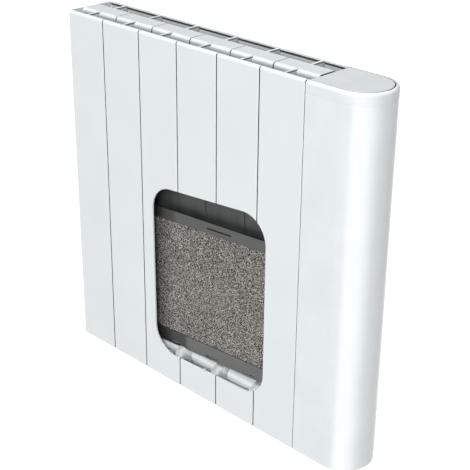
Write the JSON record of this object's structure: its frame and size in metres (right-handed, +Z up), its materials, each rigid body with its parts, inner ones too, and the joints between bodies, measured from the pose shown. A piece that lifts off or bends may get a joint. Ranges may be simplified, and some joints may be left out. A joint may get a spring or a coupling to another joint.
{
  "type": "electric radiator",
  "caption": "Wall-hung dry-inertia electric radiator with flat upright aluminium elements, a rounded control housing and a cutaway window on its speckled heating stone.",
  "frame": {"origin": "in the wall plane, at the centre of the four wall screws", "axes": "+X to the viewer's right along the front, +Y to the wall, +Z up; the front faces -Y"},
  "size_m": [0.5824, 0.112, 0.56],
  "materials": {
    "painted_aluminium": "satin white powder coat",
    "bracket_paint": "satin white powder coat",
    "shell_white": "smooth satin white",
    "lid_white": "satin pale grey-white",
    "cast_hub_joint": "blasted",
    "zinc_steel": "zinc plated",
    "core_stone": "rough speckled refractory stone",
    "rail_steel": "dull galvanised",
    "back_plate_dark": "heat-blackened",
    "sheath_steel": "dull sheath",
    "lead_silicone": "silicone sleeve",
    "black_rubber": "matt",
    "cream_moulding": "moulded",
    "chassis_zinc": "galvanised sheet",
    "deck_grey": "fine texture",
    "display_dark": "dark liquid crystal",
    "lens_clear": "clear",
    "board_green": "solder mask",
    "button_pale": "fine texture",
    "button_red": "fine texture",
    "relay_blue": "moulded",
    "capacitor_sleeve": "shrink sleeve",
    "ribbon_grey": "flat cable",
    "moulding_black": "fine texture"
  },
  "bodies": {
    "radiator": {"element_1": "painted_aluminium", "element_2": "painted_aluminium", "element_3": "painted_aluminium", "element_4": "painted_aluminium", "element_5": "painted_aluminium", "element_6": "painted_aluminium", "end_cover": "painted_aluminium", "end_cover_screws": "zinc_steel", "joint_collars_lower": "cast_hub_joint", "joint_collars_upper": "cast_hub_joint", "tie_rod_lower": "zinc_steel", "tie_rod_upper": "zinc_steel", "tie_rod_nuts": "zinc_steel", "stone_core": "core_stone", "core_rail_upper": "rail_steel", "core_rail_lower": "rail_steel", "core_back_plate": "back_plate_dark", "core_screws": "zinc_steel", "heating_rod": "sheath_steel", "core_leads": "lead_silicone", "lead_grommets": "black_rubber", "thermal_cutout": "cream_moulding", "housing_shell": "shell_white", "top_frame": "shell_white", "chassis_plate": "chassis_zinc", "shell_screws": "zinc_steel", "control_deck": "deck_grey", "deck_screws": "zinc_steel", "lid_hinge_pin": "zinc_steel", "display": "display_dark", "display_lens": "lens_clear", "control_board": "board_green", "power_board": "board_green", "board_screws": "zinc_steel", "relay": "relay_blue", "capacitor": "capacitor_sleeve", "terminal_block": "cream_moulding", "ribbon_cable": "ribbon_grey", "bottom_cap": "moulding_black", "bottom_cap_screws": "zinc_steel", "switch_body": "moulding_black", "cable_gland": "moulding_black", "gland_nut": "moulding_black", "room_sensor": "cream_moulding", "wall_bracket_left": "bracket_paint", "wall_bracket_right": "bracket_paint", "bracket_pads": "black_rubber"},
    "lid": {"lid": "lid_white"},
    "power_button": {"button_power": "button_red"},
    "minus_button": {"button_minus": "button_pale"},
    "mode_button": {"button_mode": "button_pale"},
    "plus_button": {"button_plus": "button_pale"},
    "mains_rocker": {"switch_rocker": "moulding_black"}
  },
  "joints": [
    {"name": "lid_hinge", "type": "hinge", "parent": "radiator", "child": "lid", "pos_m": [0.244, -0.067, 0.262], "axis": [0, -1, 0], "range_deg": [0, 95]},
    {"name": "power_press", "type": "slide", "parent": "radiator", "child": "power_button", "axis": [0, 0, -1], "range_m": [0, 0.0012], "stiffness_N_per_m": 300, "springref_m": -0.002},
    {"name": "minus_press", "type": "slide", "parent": "radiator", "child": "minus_button", "axis": [0, 0, -1], "range_m": [0, 0.0012], "stiffness_N_per_m": 300, "springref_m": -0.002},
    {"name": "mode_press", "type": "slide", "parent": "radiator", "child": "mode_button", "axis": [0, 0, -1], "range_m": [0, 0.0012], "stiffness_N_per_m": 300, "springref_m": -0.002},
    {"name": "plus_press", "type": "slide", "parent": "radiator", "child": "plus_button", "axis": [0, 0, -1], "range_m": [0, 0.0012], "stiffness_N_per_m": 300, "springref_m": -0.002},
    {"name": "rocker_tilt", "type": "hinge", "parent": "radiator", "child": "mains_rocker", "pos_m": [0.268, -0.067, -0.287], "axis": [-1, 0, 0], "range_deg": [0, 18]}
  ]
}
